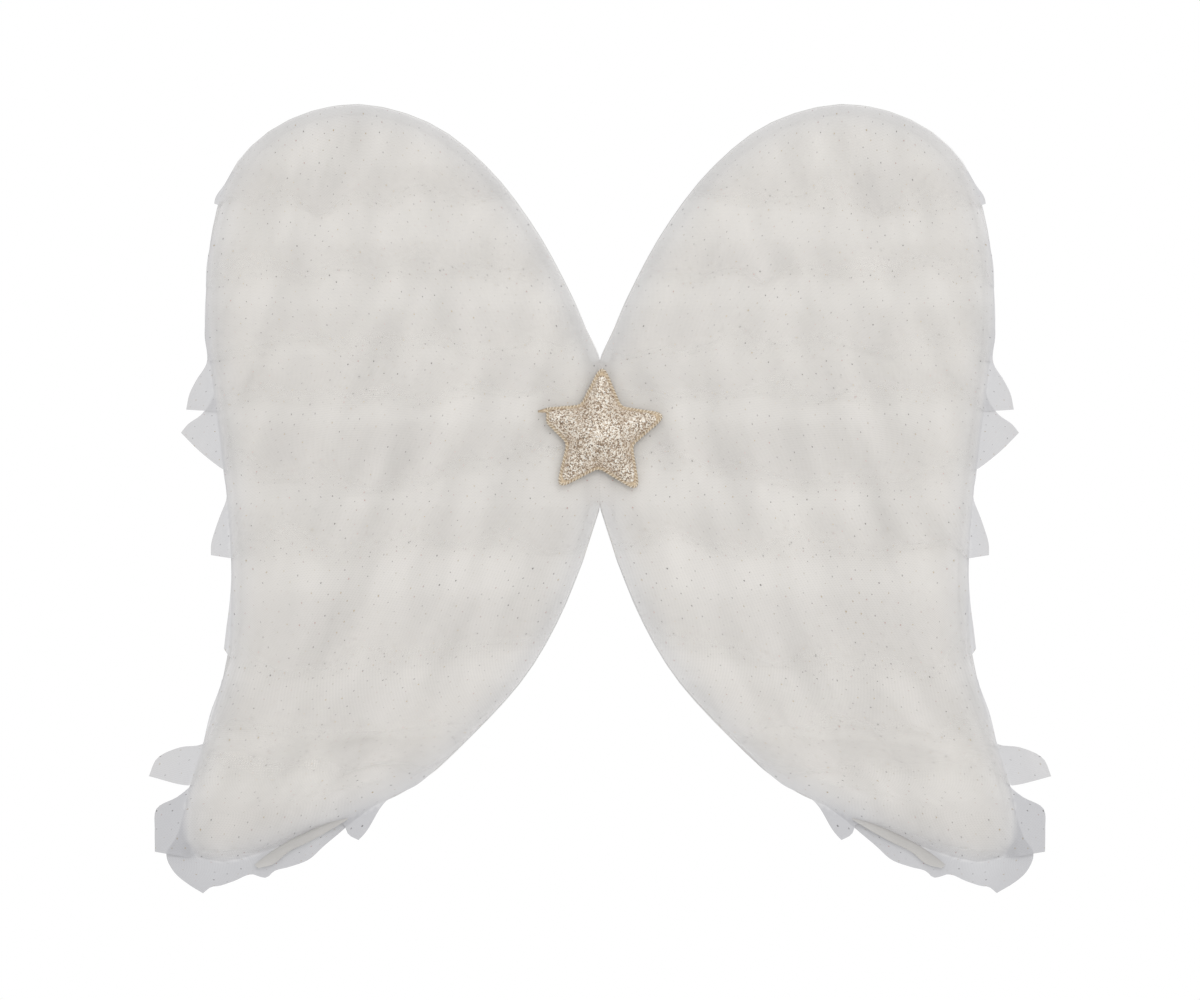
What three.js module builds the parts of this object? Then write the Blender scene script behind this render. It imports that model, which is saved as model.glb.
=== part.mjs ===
// Child's fairy wings: two wings of gathered tulle tiers on sprung wire loops, folded about a felt centre
// panel that carries a stuffed star on its front, a pad and two elastic shoulder loops on its back.
//
// Frame: +Z up, +X to the right seen from the front, -Y to the front (the star's side), +Y to the wearer.
// The origin is the middle of the back pad's rear face. All sizes are in millimetres and degrees.
// The right wing is modelled; the left wing is its mirror image in the plane x = 0.
import * as THREE from "three";

// ---- Fits -------------------------------------------------------------------------------------------
const clearance = 0.3; // air between pieces that lie on each other

// ---- Centre: felt panel, back pad and bunched tulle --------------------------------------------------
const centreHalfWidth = 8.7; // the panel is twice this wide
const notchTop = 40; // height of the upper notch between the wings, at x = 0
const notchBottom = -40;
const padThickness = 3;
const padHalfHeight = 36;
const padRestHalfHeight = 16.5; // of the full-thickness middle that lies on the wearer's back
const padSewnThickness = 1.8; // where the loops' stitching presses the pad down
const padSlope = 1;
const panelThickness = 2;
const bunchThickness = 3.3; // tulle bunched behind the star

// ---- Wing: wire loop between two covers --------------------------------------------------------------
const wireRadius = 1;
const wireInset = 2; // from the covers' edge to the wire's centre line
const wireEndGap = 1; // between the loop's two ends, inside the ferrule
const wireSides = 8;
const wireSteps = 64;
const wireCornerRun = 9; // straight wire is left off this far either side of a bend
const ferruleLength = 18;
const ferruleWall = 0.35;
const ferruleSides = 12;
const ferruleFit = 0.25; // air between the wire and the ferrule's bore
const coverThickness = 0.5;
const edgeSteps = 72;

// The covers' edge of the right wing, clockwise from above the hinge line to below it. Each point is a share
// of wingWidth out from the hinge line and a share of wingHeight up from the middle of the centre seam.
const wingWidth = 221;
const wingHeight = 419.5;
const upperCornerZ = 60; // where the edge meets the hinge line
const lowerCornerZ = -69.5;
const wingEdge = [
  [0.041, 0.19],
  [0.124, 0.269],
  [0.24, 0.348],
  [0.387, 0.408],
  [0.575, 0.433],
  [0.756, 0.408],
  [0.878, 0.348],
  [0.93, 0.267],
  [0.946, 0.167],
  [0.928, 0.06],
  [0.898, -0.06],
  [0.882, -0.179],
  [0.889, -0.286],
  [0.923, -0.362],
  [0.968, -0.436],
  [1, -0.501],
  [0.986, -0.551],
  [0.914, -0.567],
  [0.774, -0.548],
  [0.606, -0.51],
  [0.425, -0.466],
  [0.294, -0.406],
  [0.156, -0.327],
  [0.066, -0.248],
];

// ---- Tulle tiers -------------------------------------------------------------------------------------
// Each tier is gathered on a line at height gather and hangs to height hem, both shares of wingHeight. outer
// and inner are how far its two ends stand proud of the covers' edge, at equal steps from gather to hem.
const flush = [0, 0, 0, 0, 0, 0];
const tiers = [
  { gather: 0.422, hem: 0.3, outer: [0, 0, 0, 0, 1, 3], inner: flush },
  { gather: 0.355, hem: 0.19, outer: flush, inner: flush },
  { gather: 0.255, hem: 0.094, outer: [0, 0, 0, 0, 1, 2], inner: flush },
  { gather: 0.169, hem: 0.03, outer: [0, 1, 2, 3, 11.5, 17], inner: flush },
  { gather: 0.105, hem: -0.048, outer: [0, 0, 5, 17, 17, 1], inner: flush },
  { gather: 0.017, hem: -0.163, outer: [0, 0, 1.5, 0.5, 7.5, 10.5], inner: flush },
  { gather: -0.095, hem: -0.288, outer: [0, 0, 0, 0.5, 1.5, 3], inner: flush },
  { gather: -0.207, hem: -0.412, outer: [0, 0, 0, 0, 0.5, 1], inner: flush },
  { gather: -0.327, hem: -0.458, outer: [0, 0, 0, 0, 22, 24], inner: flush },
  { gather: -0.405, hem: -0.553, outer: [0, 0, 0, 14, 17, 18], inner: [0, 0, 0, 6, 26, 24] },
  { gather: -0.486, hem: -0.605, outer: [0, 0, 4, 18, 14, 1], inner: [0, 0, 10, 36, 5, -22] },
];
const tierThickness = 2; // of a tier's pleats, front to back
const tierInset = 1; // from the covers' edge to a tier's inner end
const tierEnd = 3; // a tier's sides are read no nearer the wing's top and tip than this
const tierColumns = 10;
const tierRows = flush.length - 1;
const flareStart = 0.72; // share of a tier's width where its outer end begins to stand out
const crushShare = 0.35; // the tiers' depth beside the star, as a share of their full depth
const crushTo = 40; // the tiers are crushed as far out as this
const fullFrom = 100; // and are at their full depth from here on

// ---- Star --------------------------------------------------------------------------------------------
const starTipRadius = 39; // to the sharp corners, before they are rounded
const starNotchRadius = 19.2;
const starTurn = -2; // degrees, seen from the front
const starTipRound = 5; // length of each arm's edge taken by the rounding of its tip
const starNotchRound = 3;
const starSkin = 0.7;
const starSeamWidth = 2.6; // flat edge outside the filling
const starFrontDome = 8.3;
const starBackDome = 3.4;
const starSeamGap = 0.3; // between the two covers at their edge
const starRings = 4;
const starCurvePoints = 3;
const domePower = 0.6;
const fillingFit = 0.9; // the filling's size, as a share of the pocket it sits in

// ---- Shoulder loops ----------------------------------------------------------------------------------
const strapWidth = 7;
const strapThickness = 1.2;
const strapX = 5.1;
const strapSplay = 30; // degrees from straight back, outwards
const strapSteps = 60;
// One loop's centre line, from its upper end to its lower end: [distance from the pad, height].
const strapLine = [
  [0, 19],
  [0, 25],
  [0, 28],
  [1.8, 33.5],
  [11, 43],
  [38, 53],
  [75, 46],
  [101, 14],
  [101, -26],
  [75, -54],
  [38, -59],
  [11, -45],
  [1.8, -33.5],
  [0, -28],
  [0, -25],
  [0, -19],
];
const tackLength = 5; // of the bar of stitches across each sewn end
const tackHeight = 2.4;
const tackThickness = 0.8;
const tackZ = 23; // height of the upper one; the lower one mirrors it

// ---- Places that follow from the sizes ---------------------------------------------------------------
const hingeX = centreHalfWidth + clearance;
const wingInnerX = hingeX + clearance;
const panelRear = -padThickness - clearance;
const panelFront = panelRear - panelThickness;
const bunchRear = panelFront - clearance;
const bunchFront = bunchRear - bunchThickness;
const ferruleBore = wireRadius + ferruleFit;
const ferruleRadius = ferruleBore + ferruleWall;
const coreHalf = ferruleRadius + ferruleFit; // from the wire's centre to a cover
const wingMiddle = (panelRear + panelFront) / 2 + clearance;
const rearCoverRear = wingMiddle + coreHalf + coverThickness;
const frontCoverFront = wingMiddle - coreHalf - coverThickness;
const tierBase = frontCoverFront - clearance;
const tierPitch = tierThickness + clearance;
const closestGathers =
  wingHeight * Math.min(...tiers.slice(1).map((tier, i) => tiers[i].gather - tier.gather));
const tierSlope = tierPitch / closestGathers;
const starBack = bunchFront - clearance;
const starSeamY = starBack - starBackDome;
const padSewnY = padSewnThickness - padThickness;
const strapSplayTurn = THREE.MathUtils.degToRad(strapSplay);
const strapHalfDepth = (strapWidth * Math.sin(strapSplayTurn) + strapThickness * Math.cos(strapSplayTurn)) / 2;
const strapY = padSewnY + clearance + strapHalfDepth;

// ---- Materials ---------------------------------------------------------------------------------------
const material = (color, roughness, metalness = 0) =>
  new THREE.MeshStandardMaterial({ color, roughness, metalness });
const tulle = material(0xe2e0e0, 0.85);
const coverNet = material(0xe9e6df, 0.85);
const felt = material(0xefece6, 0.95);
const elastic = material(0xf3f1ec, 0.8);
const thread = material(0xece9e2, 0.7);
const springSteel = material(0xb9bcc0, 0.35, 0.9);
const brass = material(0xb89a5e, 0.35, 0.9);
const glitter = material(0xd0b995, 0.4, 0.5);
const wadding = material(0xf6f5f2, 0.95);

// ---- Shared builders ---------------------------------------------------------------------------------
function mesh(name, geometry, finish) {
  const made = new THREE.Mesh(geometry, finish);
  made.name = name;
  return made;
}

// A plate with an outline in x and z, between two depths.
function plate(outline, frontY, rearY) {
  const geometry = new THREE.ExtrudeGeometry(new THREE.Shape(outline), {
    depth: rearY - frontY,
    bevelEnabled: false,
    curveSegments: 6,
  });
  geometry.rotateX(Math.PI / 2);
  geometry.translate(0, rearY, 0);
  return geometry;
}

// Triangles for two matching skins and the wall between their rims. Each quad and rim edge is given for the
// front skin, whose faces look towards -Y; the rear skin's vertices follow the front skin's.
function closedSkins(frontPoints, rearPoints, quads, rim) {
  const count = frontPoints.length;
  const index = [];
  for (const [a, b, c, d] of quads) {
    const corners = d === undefined ? [[a, b, c]] : [[a, b, c], [a, c, d]];
    for (const [i, j, k] of corners) index.push(i, j, k, count + k, count + j, count + i);
  }
  for (const [a, b] of rim) index.push(b, a, count + a, b, count + a, count + b);
  const geometry = new THREE.BufferGeometry();
  geometry.setFromPoints([...frontPoints, ...rearPoints]);
  geometry.setIndex(index);
  geometry.computeVertexNormals();
  return geometry;
}

// ---- Wing outline ------------------------------------------------------------------------------------
const edgeCurve = new THREE.SplineCurve([
  new THREE.Vector2(wingInnerX, upperCornerZ),
  ...wingEdge.map(([out, up]) => new THREE.Vector2(hingeX + out * wingWidth, up * wingHeight)),
  new THREE.Vector2(wingInnerX, lowerCornerZ),
]);
const edge = edgeCurve.getSpacedPoints(edgeSteps);
const edgeTop = Math.max(...edge.map((p) => p.y));
const edgeTip = Math.min(...edge.map((p) => p.y));

// The wing's inner and outer x at a height.
function sidesAt(height) {
  const z = THREE.MathUtils.clamp(height, edgeTip + tierEnd, edgeTop - tierEnd);
  const crossings = edge.slice(1).flatMap((p, i) => {
    const q = edge[i];
    return (p.y - z) * (q.y - z) > 0 ? [] : [q.x + ((z - q.y) / (p.y - q.y)) * (p.x - q.x)];
  });
  const besideCentre = z < upperCornerZ && z > lowerCornerZ;
  return { inner: besideCentre ? wingInnerX : Math.min(...crossings), outer: Math.max(...crossings) };
}

function wireGeometry() {
  const straightX = wingInnerX + wireInset;
  const inset = edge.map((p, i) => {
    const along = edgeCurve.getTangentAt(i / edgeSteps);
    return new THREE.Vector3(p.x + along.y * wireInset, wingMiddle, p.y - along.x * wireInset);
  });
  const round = inset.filter((p, i) => i % 3 === 0 && p.x > straightX + wireCornerRun / 2);
  const straight = (z) => new THREE.Vector3(straightX, wingMiddle, z);
  const path = new THREE.CatmullRomCurve3(
    [
      straight(wireEndGap / 2),
      straight(ferruleLength),
      straight(upperCornerZ - wireCornerRun),
      ...round,
      straight(lowerCornerZ + wireCornerRun),
      straight(-ferruleLength),
      straight(-wireEndGap / 2),
    ],
    false,
    "centripetal",
  );
  const section = new THREE.Shape().absarc(0, 0, wireRadius, 0, Math.PI * 2);
  return new THREE.ExtrudeGeometry(section, {
    steps: wireSteps,
    extrudePath: path,
    curveSegments: wireSides / 2,
  });
}

function ferruleGeometry() {
  const half = ferruleLength / 2;
  const profile = [
    [ferruleBore, -half],
    [ferruleRadius, -half],
    [ferruleRadius, half],
    [ferruleBore, half],
    [ferruleBore, -half],
  ].map(([r, y]) => new THREE.Vector2(r, y));
  const geometry = new THREE.LatheGeometry(profile, ferruleSides);
  geometry.rotateX(Math.PI / 2);
  geometry.translate(wingInnerX + wireInset, wingMiddle, 0);
  return geometry;
}

// A tier is a slanted slab: each stands one pitch in front of the next where they overlap.
function tierGeometry({ gather, hem, outer: outerProud, inner: innerProud }) {
  const front = [];
  const rear = [];
  for (let row = 0; row <= tierRows; row += 1) {
    const down = row / tierRows;
    const drop = down * (gather - hem) * wingHeight;
    const z = gather * wingHeight - drop;
    const { inner, outer } = sidesAt(z);
    for (let column = 0; column <= tierColumns; column += 1) {
      const across = column / tierColumns;
      const flareOut = outerProud[row] * THREE.MathUtils.smoothstep(across, flareStart, 1);
      const flareIn = innerProud[row] * (1 - across);
      const x = THREE.MathUtils.lerp(inner + tierInset, outer, across) + flareOut - flareIn;
      const depth = THREE.MathUtils.lerp(crushShare, 1, THREE.MathUtils.smoothstep(x, crushTo, fullFrom));
      const rearY = tierBase - depth * tierSlope * drop;
      rear.push(new THREE.Vector3(x, rearY, z));
      front.push(new THREE.Vector3(x, rearY - (depth * tierPitch - clearance), z));
    }
  }
  const at = (row, column) => row * (tierColumns + 1) + column;
  const quads = [];
  for (let row = 0; row < tierRows; row += 1)
    for (let column = 0; column < tierColumns; column += 1)
      quads.push([at(row, column), at(row + 1, column), at(row + 1, column + 1), at(row, column + 1)]);
  const rimCorners = [
    ...Array.from({ length: tierColumns }, (_, i) => at(0, tierColumns - i)),
    ...Array.from({ length: tierRows }, (_, i) => at(i, 0)),
    ...Array.from({ length: tierColumns }, (_, i) => at(tierRows, i)),
    ...Array.from({ length: tierRows }, (_, i) => at(tierRows - i, tierColumns)),
  ];
  const rim = rimCorners.map((corner, i) => [corner, rimCorners[(i + 1) % rimCorners.length]]);
  return closedSkins(front, rear, quads, rim);
}

function wing(side) {
  const outline = edge.map((p) => p.clone());
  const group = new THREE.Group();
  group.add(
    mesh(`${side}_wing_wire`, wireGeometry(), springSteel),
    mesh(`${side}_wire_ferrule`, ferruleGeometry(), brass),
    mesh(`${side}_rear_cover`, plate(outline, wingMiddle + coreHalf, rearCoverRear), coverNet),
    mesh(`${side}_front_cover`, plate(outline, frontCoverFront, wingMiddle - coreHalf), coverNet),
  );
  tiers.forEach((tier, i) => {
    const number = String(i + 1).padStart(2, "0");
    group.add(mesh(`${side}_tulle_tier_${number}`, tierGeometry(tier), tulle));
  });
  if (side === "left") group.scale.x = -1;
  return group;
}

// ---- Centre ------------------------------------------------------------------------------------------
// The panel's upper and lower edges fall to a notch that carries on the wings' curves.
const centreOutline = [
  [-centreHalfWidth, upperCornerZ - clearance],
  [0, notchTop],
  [centreHalfWidth, upperCornerZ - clearance],
  [centreHalfWidth, lowerCornerZ + clearance],
  [0, notchBottom],
  [-centreHalfWidth, lowerCornerZ + clearance],
].map(([x, z]) => new THREE.Vector2(x, z));

// The pad's side profile, in y and z, drawn out across its width.
function padGeometry() {
  const half = [
    [padSewnY, padHalfHeight],
    [padSewnY, padRestHalfHeight + padSlope],
    [0, padRestHalfHeight],
  ];
  const lower = half.map(([y, z]) => [y, -z]).reverse();
  const profile = [[-padThickness, padHalfHeight], ...half, ...lower, [-padThickness, -padHalfHeight]];
  const geometry = new THREE.ExtrudeGeometry(
    new THREE.Shape(profile.map(([y, z]) => new THREE.Vector2(y, z))),
    { depth: centreHalfWidth * 2, bevelEnabled: false },
  );
  geometry.translate(0, 0, -centreHalfWidth);
  geometry.rotateX(Math.PI / 2);
  geometry.rotateZ(Math.PI / 2);
  return geometry;
}

// ---- Star --------------------------------------------------------------------------------------------
// The star's outline with rounded tips and notches, as points in x and z.
function starOutline() {
  const corners = Array.from({ length: 10 }, (_, i) => {
    const angle = THREE.MathUtils.degToRad(90 + starTurn + 36 * i);
    const radius = i % 2 ? starNotchRadius : starTipRadius;
    return new THREE.Vector2(radius * Math.cos(angle), radius * Math.sin(angle));
  });
  const towards = (from, to, length) => from.clone().add(to.clone().sub(from).setLength(length));
  return corners.flatMap((corner, i) => {
    const round = i % 2 ? starNotchRound : starTipRound;
    const before = towards(corner, corners[(i + 9) % 10], round);
    const after = towards(corner, corners[(i + 1) % 10], round);
    return new THREE.QuadraticBezierCurve(before, corner, after).getPoints(starCurvePoints);
  });
}

// A star-shaped shell of rings at shares of the outline, between two depths given for each share.
function starShell(shares, frontAt, rearAt) {
  const outline = starOutline();
  const count = outline.length;
  const skin = (depthAt) => [
    new THREE.Vector3(0, depthAt(0), 0),
    ...shares.flatMap((share) => outline.map((p) => new THREE.Vector3(p.x * share, depthAt(share), p.y * share))),
  ];
  const at = (ring, i) => 1 + ring * count + (i % count);
  const quads = [];
  const rim = [];
  for (let i = 0; i < count; i += 1) {
    quads.push([0, at(0, i), at(0, i + 1)]);
    for (let ring = 1; ring < shares.length; ring += 1)
      quads.push([at(ring - 1, i), at(ring, i), at(ring, i + 1), at(ring - 1, i + 1)]);
    rim.push([at(shares.length - 1, i), at(shares.length - 1, i + 1)]);
  }
  return closedSkins(skin(frontAt), skin(rearAt), quads, rim);
}

function star() {
  const pocketShare = 1 - starSeamWidth / starNotchRadius;
  const dome = (share, edgeShare) => Math.max(0, 1 - (share / edgeShare) ** 2) ** domePower;
  const pocketShares = Array.from({ length: starRings }, (_, i) => (pocketShare * (i + 1)) / starRings);
  const coverShares = [...pocketShares, 1];
  const fillingShare = pocketShare * fillingFit;
  const fillingShares = pocketShares.map((share) => share * fillingFit);
  const frontPocket = starFrontDome - starSeamGap;
  const backPocket = starBackDome - starSkin;
  const frontInside = (share) => starSeamY - starSeamGap - frontPocket * dome(share, pocketShare);
  const backInside = (share) => starSeamY + backPocket * dome(share, pocketShare);
  const fillingFront = (share) => starSeamY - frontPocket * fillingFit * dome(share, fillingShare) - clearance;
  const fillingBack = (share) => starSeamY + backPocket * fillingFit * dome(share, fillingShare);
  const group = new THREE.Group();
  group.add(
    mesh("star_front_cover", starShell(coverShares, (s) => frontInside(s) - starSkin, frontInside), glitter),
    mesh("star_back_cover", starShell(coverShares, backInside, (s) => backInside(s) + starSkin), felt),
    mesh("star_filling", starShell(fillingShares, fillingFront, fillingBack), wadding),
  );
  return group;
}

// ---- Shoulder loops ----------------------------------------------------------------------------------
function strapGeometry() {
  const line = new THREE.CatmullRomCurve3(
    strapLine.map(([out, z]) => new THREE.Vector3(out, z, 0)),
    false,
    "centripetal",
  );
  const side = (offset) =>
    Array.from({ length: strapSteps + 1 }, (_, i) => {
      const at = line.getPointAt(i / strapSteps);
      const along = line.getTangentAt(i / strapSteps);
      return new THREE.Vector2(at.x + along.y * offset, at.y - along.x * offset);
    });
  const outline = [...side(strapThickness / 2), ...side(-strapThickness / 2).reverse()];
  const geometry = new THREE.ExtrudeGeometry(new THREE.Shape(outline), {
    depth: strapWidth,
    bevelEnabled: false,
  });
  geometry.translate(0, 0, -strapWidth / 2);
  geometry.rotateX(Math.PI / 2);
  return geometry;
}

// The loop and its two bars of stitches, in the plane the loop stands in.
function shoulderLoop(side) {
  const loop = new THREE.Group();
  loop.add(mesh(`${side}_shoulder_strap`, strapGeometry(), elastic));
  for (const [place, z] of [["upper", tackZ], ["lower", -tackZ]]) {
    const bar = new THREE.BoxGeometry(tackThickness, tackLength, tackHeight);
    const tack = mesh(`${side}_${place}_strap_tack`, bar, thread);
    tack.position.set((strapThickness + tackThickness) / 2 + clearance, 0, z);
    loop.add(tack);
  }
  loop.position.set(strapX, strapY, 0);
  loop.rotation.z = Math.PI / 2 - strapSplayTurn;
  const group = new THREE.Group();
  group.add(loop);
  if (side === "left") group.scale.x = -1;
  return group;
}

// ---- Assembly ----------------------------------------------------------------------------------------
const fairyWings = new THREE.Group();
fairyWings.add(
  mesh("back_pad", padGeometry(), felt),
  mesh("centre_panel", plate(centreOutline, panelFront, panelRear), felt),
  mesh("centre_tulle_bunch", plate(centreOutline, bunchFront, bunchRear), tulle),
  star(),
);
for (const side of ["left", "right"]) fairyWings.add(wing(side), shoulderLoop(side));

export default fairyWings;
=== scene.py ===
import math

import bmesh
import bpy
import numpy as np
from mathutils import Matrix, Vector, noise


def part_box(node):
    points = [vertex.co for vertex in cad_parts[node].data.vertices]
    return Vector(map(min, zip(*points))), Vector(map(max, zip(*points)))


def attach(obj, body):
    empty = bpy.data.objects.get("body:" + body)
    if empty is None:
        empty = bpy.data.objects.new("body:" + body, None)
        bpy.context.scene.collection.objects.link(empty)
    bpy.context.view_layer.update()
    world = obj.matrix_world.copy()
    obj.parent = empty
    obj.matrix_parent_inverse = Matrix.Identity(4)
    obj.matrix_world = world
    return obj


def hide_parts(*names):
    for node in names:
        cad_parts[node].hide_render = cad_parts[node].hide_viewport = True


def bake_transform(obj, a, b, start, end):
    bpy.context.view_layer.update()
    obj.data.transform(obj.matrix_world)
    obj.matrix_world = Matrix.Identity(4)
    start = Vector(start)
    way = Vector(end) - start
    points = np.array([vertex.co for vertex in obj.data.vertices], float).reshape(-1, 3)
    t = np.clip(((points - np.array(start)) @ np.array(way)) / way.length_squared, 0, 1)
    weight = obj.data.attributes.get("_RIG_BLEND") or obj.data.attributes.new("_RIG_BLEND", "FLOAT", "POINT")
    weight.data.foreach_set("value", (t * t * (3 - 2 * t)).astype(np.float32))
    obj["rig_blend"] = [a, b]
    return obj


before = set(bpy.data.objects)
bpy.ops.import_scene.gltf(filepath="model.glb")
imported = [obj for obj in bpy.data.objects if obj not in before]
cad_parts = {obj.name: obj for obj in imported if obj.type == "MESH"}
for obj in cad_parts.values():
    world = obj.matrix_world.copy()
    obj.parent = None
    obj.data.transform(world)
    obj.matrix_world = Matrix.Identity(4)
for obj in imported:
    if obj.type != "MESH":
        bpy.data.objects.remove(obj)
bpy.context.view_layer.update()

scene = bpy.context.scene
MM = 0.001

# ---- Camera -------------------------------------------------------------------------------------
# Square on to the star's side, from far enough away that the wings show with almost no perspective.
VIEW_WIDTH = 0.6667
VIEW_DISTANCE = 2.6
VIEW_HEIGHT = -0.0375
SENSOR = 36
camera_data = bpy.data.cameras.new("front_view")
camera_data.sensor_width = SENSOR
camera_data.lens = SENSOR * VIEW_DISTANCE / VIEW_WIDTH
camera = bpy.data.objects.new("front_view", camera_data)
camera.location = (0, -VIEW_DISTANCE, VIEW_HEIGHT)
camera.rotation_euler = (math.pi / 2, 0, 0)
scene.collection.objects.link(camera)
scene.camera = camera

# ---- Studio -------------------------------------------------------------------------------------
# A white room, a large soft lamp in front and a little to the right, a weaker one behind, and a pale round
# floor well below the wings. Sheer layers lie many deep, so light may pass through more than usual.
WHITE_ROOM = 1.0
ROOM_LIGHT = 0.65
LAMPS = (("front_lamp", (0.3, -2.2, 0.6), 18, 1.6), ("back_lamp", (0.9, 1.6, 1.0), 10, 1.2))
FLOOR_HEIGHT = -0.42
FLOOR_RADIUS = 0.75
SHEER_DEPTH = 48
scene.cycles.transparent_max_bounces = SHEER_DEPTH
scene.view_settings.view_transform = "Standard"
scene.view_settings.look = "None"


def node(tree, kind, inputs=None, **settings):
    """A new node with its settings, its sockets given values or joined to other nodes' outputs."""
    made = tree.nodes.new(kind)
    for key, value in settings.items():
        setattr(made, key, value)
    for socket, value in (inputs or {}).items():
        if isinstance(value, bpy.types.NodeSocket):
            tree.links.new(value, made.inputs[socket])
        else:
            made.inputs[socket].default_value = value
    return made


world = bpy.data.worlds.new("white_room")
world.use_nodes = True
scene.world = world
room = world.node_tree
room.nodes.clear()
lit = node(room, "ShaderNodeBackground", {"Strength": ROOM_LIGHT})
seen = node(room, "ShaderNodeBackground", {"Strength": WHITE_ROOM})
for background in (lit, seen):
    background.inputs["Color"].default_value = (1, 1, 1, 1)
path = node(room, "ShaderNodeLightPath")
either = node(
    room,
    "ShaderNodeMixShader",
    {0: path.outputs["Is Camera Ray"], 1: lit.outputs[0], 2: seen.outputs[0]},
)
node(room, "ShaderNodeOutputWorld", {"Surface": either.outputs[0]})

for name, place, power, size in LAMPS:
    lamp_data = bpy.data.lights.new(name, "AREA")
    lamp_data.energy = power
    lamp_data.size = size
    lamp = bpy.data.objects.new(name, lamp_data)
    lamp.location = place
    lamp.rotation_euler = (-lamp.location).to_track_quat("-Z", "Y").to_euler()
    scene.collection.objects.link(lamp)


def material(name, **constants):
    """A new material with one Principled shader, and the values that are the same all over it."""
    made = bpy.data.materials.new(name)
    made.use_nodes = True
    shader = made.node_tree.nodes["Principled BSDF"]
    for socket, value in constants.items():
        shader.inputs[socket.replace("_", " ")].default_value = value
    return made, made.node_tree, shader


def join(tree, shader, **outputs):
    """Join nodes' outputs to a shader's sockets."""
    for socket, output in outputs.items():
        tree.links.new(output, shader.inputs[socket.replace("_", " ")])


def piece_of(bm, name, finish, smooth=True):
    """An object at the origin with this mesh and finish."""
    mesh = bpy.data.meshes.new(name)
    bm.to_mesh(mesh)
    bm.free()
    mesh.materials.append(finish)
    mesh.polygons.foreach_set("use_smooth", [smooth] * len(mesh.polygons))
    piece = bpy.data.objects.new(name, mesh)
    scene.collection.objects.link(piece)
    return piece


floor_finish, tree, shader = material("pale_floor", Roughness=0.9)
grain = node(tree, "ShaderNodeTexNoise", {"Scale": 14.0, "Detail": 3.0})
shade = node(tree, "ShaderNodeValToRGB", {"Fac": grain.outputs["Fac"]})
shade.color_ramp.elements[0].color = (0.80, 0.80, 0.80, 1)
shade.color_ramp.elements[1].color = (0.86, 0.86, 0.86, 1)
join(tree, shader, Base_Color=shade.outputs["Color"])
bm = bmesh.new()
bmesh.ops.create_circle(bm, segments=96, radius=FLOOR_RADIUS, cap_ends=True)
bmesh.ops.translate(bm, vec=(0, 0, FLOOR_HEIGHT), verts=bm.verts)
piece_of(bm, "floor", floor_finish, smooth=False)

# ---- Wing outline -------------------------------------------------------------------------------
# The covers' edge, read off the right front cover: how far out its two sides are at each height. Beside
# the centre the cloth carries on to the middle seam, which ends in a notch above and below.
NOTCH_TOP, NOTCH_BOTTOM = 40 * MM, -40 * MM
LEVELS = 500
SIDES = (("right", 1), ("left", -1))


def cad_mesh(name):
    """A copy of a CAD solid's mesh, with its loose triangles joined."""
    bm = bmesh.new()
    bm.from_mesh(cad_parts[name].data)
    bmesh.ops.remove_doubles(bm, verts=bm.verts, dist=1e-6)
    return bm


cover_low, cover_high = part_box("right_front_cover")
panel_low, panel_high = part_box("centre_panel")
corner_x, wing_bottom, wing_top = cover_low.x, cover_low.z, cover_high.z
middle_bottom, middle_top = panel_low.z, panel_high.z
bm = cad_mesh("right_front_cover")
bm.normal_update()
rim = [
    (e.verts[0].co.copy(), e.verts[1].co.copy())
    for e in bm.edges
    if len(e.link_faces) == 2 and sum(f.normal.y < -0.5 for f in e.link_faces) == 1
]
bm.free()
turn = np.linspace(0, math.pi, LEVELS)
levels = wing_bottom + 1e-6 + (wing_top - wing_bottom - 2e-6) * (1 - np.cos(turn)) / 2
inner_side, outer_side = [], []
for z in levels:
    crossings = [a.x + (z - a.z) / (b.z - a.z) * (b.x - a.x) for a, b in rim if (a.z - z) * (b.z - z) < 0]
    beside = middle_bottom < z < middle_top
    notch, corner = (NOTCH_TOP, middle_top) if z > 0 else (NOTCH_BOTTOM, middle_bottom)
    past = max(0.0, (z - notch) / (corner - notch))
    inner_side.append(corner_x * past if beside else min(crossings))
    outer_side.append(max(crossings))


def inner_at(z):
    return float(np.interp(z, levels, inner_side))


def outer_at(z):
    return float(np.interp(z, levels, outer_side))


# ---- Net and glitter tulle ----------------------------------------------------------------------
# Fine nylon net in two kinds: a plain close one for the covers and edges, and a sheer one for the tiers,
# printed with tiny foil dots in staggered rows. One layer alone looks cooler and greyer than several, and
# that is painted in as painted shade where the net lies single past the covers and near their edge.
MESH_PITCH = 0.9 * MM
MESH_LEAN = 0.6
THREAD_SHARPNESS = 3.0
DOT_PITCH = 6.6 * MM
DOT_RADIUS = 0.4 * MM
DOT_ROWS_TURN = 0.7


def group(name, inputs, outputs):
    """An empty shader node group with these named sockets, and its two ends."""
    made = bpy.data.node_groups.new(name, "ShaderNodeTree")
    for socket, kind, value in inputs:
        added = made.interface.new_socket(socket, in_out="INPUT", socket_type=kind)
        if value is not None:
            added.default_value = value
    for socket, kind in outputs:
        made.interface.new_socket(socket, in_out="OUTPUT", socket_type=kind)
    return made, made.nodes.new("NodeGroupInput"), made.nodes.new("NodeGroupOutput")


def sum_of(tree, operation, first, second=0.0, third=0.0):
    """The output of one Math node."""
    return node(tree, "ShaderNodeMath", {0: first, 1: second, 2: third}, operation=operation).outputs[0]


def mixed(tree, share, first, second):
    """The output of one colour Mix node."""
    return node(tree, "ShaderNodeMix", {0: share, 6: first, 7: second}, data_type="RGBA").outputs[2]


def use(tree, made, **inputs):
    """One use of a node group in a material."""
    return node(tree, "ShaderNodeGroup", inputs, node_tree=made)


def scaled(colour, share):
    """A colour made darker or lighter, with its alpha."""
    return (*[min(1, c * share) for c in colour], 1)


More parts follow.
